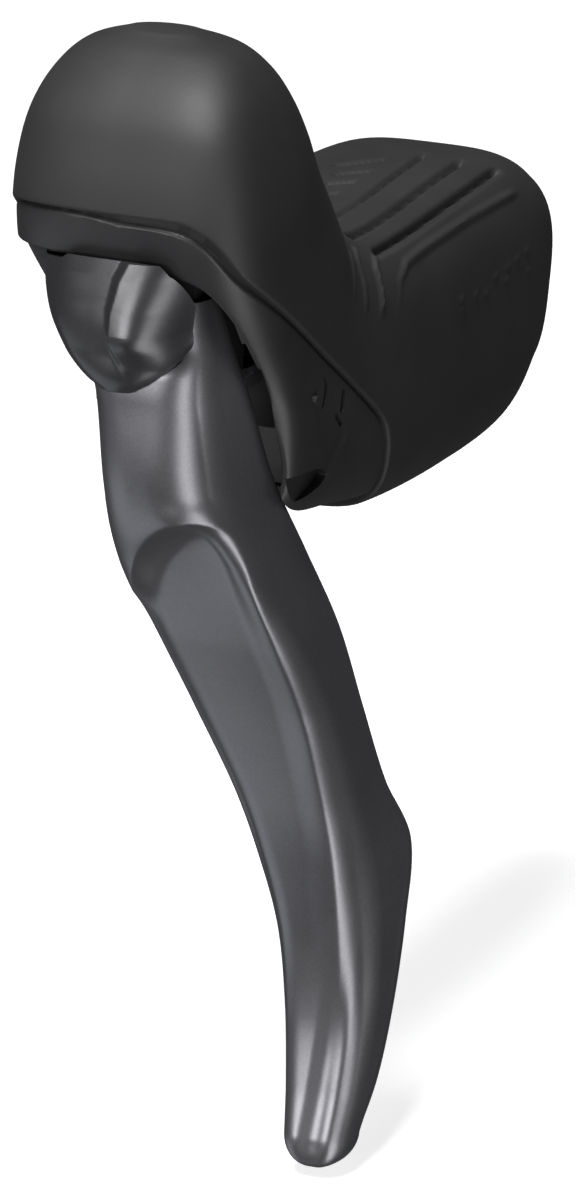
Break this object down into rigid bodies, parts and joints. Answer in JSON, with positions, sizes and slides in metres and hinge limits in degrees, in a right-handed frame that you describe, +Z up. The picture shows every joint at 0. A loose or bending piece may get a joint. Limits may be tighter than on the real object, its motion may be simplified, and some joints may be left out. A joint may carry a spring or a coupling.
{
  "type": "bicycle brake lever",
  "caption": "Left-hand drop-bar hydraulic brake lever: rubber hood with a tall horn, grey blade, lever pivot, master cylinder, reservoir and handlebar clamp.",
  "frame": {"origin": "centre of the handlebar clamp bore", "axes": "+Z up as mounted, -Y forwards away from the rider, +X outboard"},
  "size_m": [0.0388, 0.1217, 0.1667],
  "materials": {
    "resin": "fine-grained glass-filled black resin",
    "hood_rubber": "matte moulded rubber",
    "steel": "turned steel",
    "black_steel": "blackened steel",
    "seal_rubber": "smooth seal rubber",
    "brass": "turned brass",
    "black_metal": "black painted casting",
    "lever_grey": "satin grey metallic paint",
    "cap_grey": "satin dark grey metallic paint on plastic",
    "piston_metal": "dark hard-coated aluminium"
  },
  "bodies": {
    "bracket": {"bracket_body": "resin", "bracket_cover": "hood_rubber", "lever_axle": "steel", "axle_set_screw": "black_steel", "stop_ring": "black_steel", "reservoir_lid": "resin", "reservoir_diaphragm": "seal_rubber", "lid_screws": "steel", "bleed_screw": "steel", "bleed_o_ring": "seal_rubber", "clamp_band": "steel", "clamp_bolt": "black_steel", "clamp_nut": "steel", "hose_connector_bolt": "black_steel", "hose_olive": "brass"},
    "lever": {"lever_support": "black_metal", "axle_bushes": "brass", "brake_lever": "lever_grey", "blade_screws": "steel", "nose_cap": "cap_grey", "nose_cap_screw": "steel", "reach_adjust_screw": "steel", "trunnion_pin": "steel", "return_spring": "steel"},
    "push_rod": {"push_rod": "steel"},
    "piston": {"master_piston": "piston_metal", "primary_cup": "seal_rubber", "secondary_cup": "seal_rubber", "piston_spring": "steel"}
  },
  "joints": [
    {"name": "lever_pivot", "type": "hinge", "parent": "bracket", "child": "lever", "pos_m": [0, -0.085, 0.029], "axis": [1, 0, 0], "range_deg": [0, 18], "stiffness_Nm_per_rad": 0.3, "springref_deg": -28.65, "deforming": ["return_spring"]},
    {"name": "rod_swivel", "type": "hinge", "parent": "lever", "child": "push_rod", "pos_m": [0, -0.08782, 0.01122], "axis": [1, 0, 0], "range_deg": [-18, 0]},
    {"name": "piston_slide", "type": "slide", "parent": "bracket", "child": "piston", "axis": [0, 1, 0], "range_m": [0, 0.0057], "stiffness_N_per_m": 300, "springref_m": -0.003, "deforming": ["piston_spring"]}
  ],
  "couplings": [
    {"joint": "rod_swivel", "follows": "lever_pivot", "ratio": -1},
    {"joint": "piston_slide", "follows": "lever_pivot", "m_per_rad": 0.018}
  ]
}
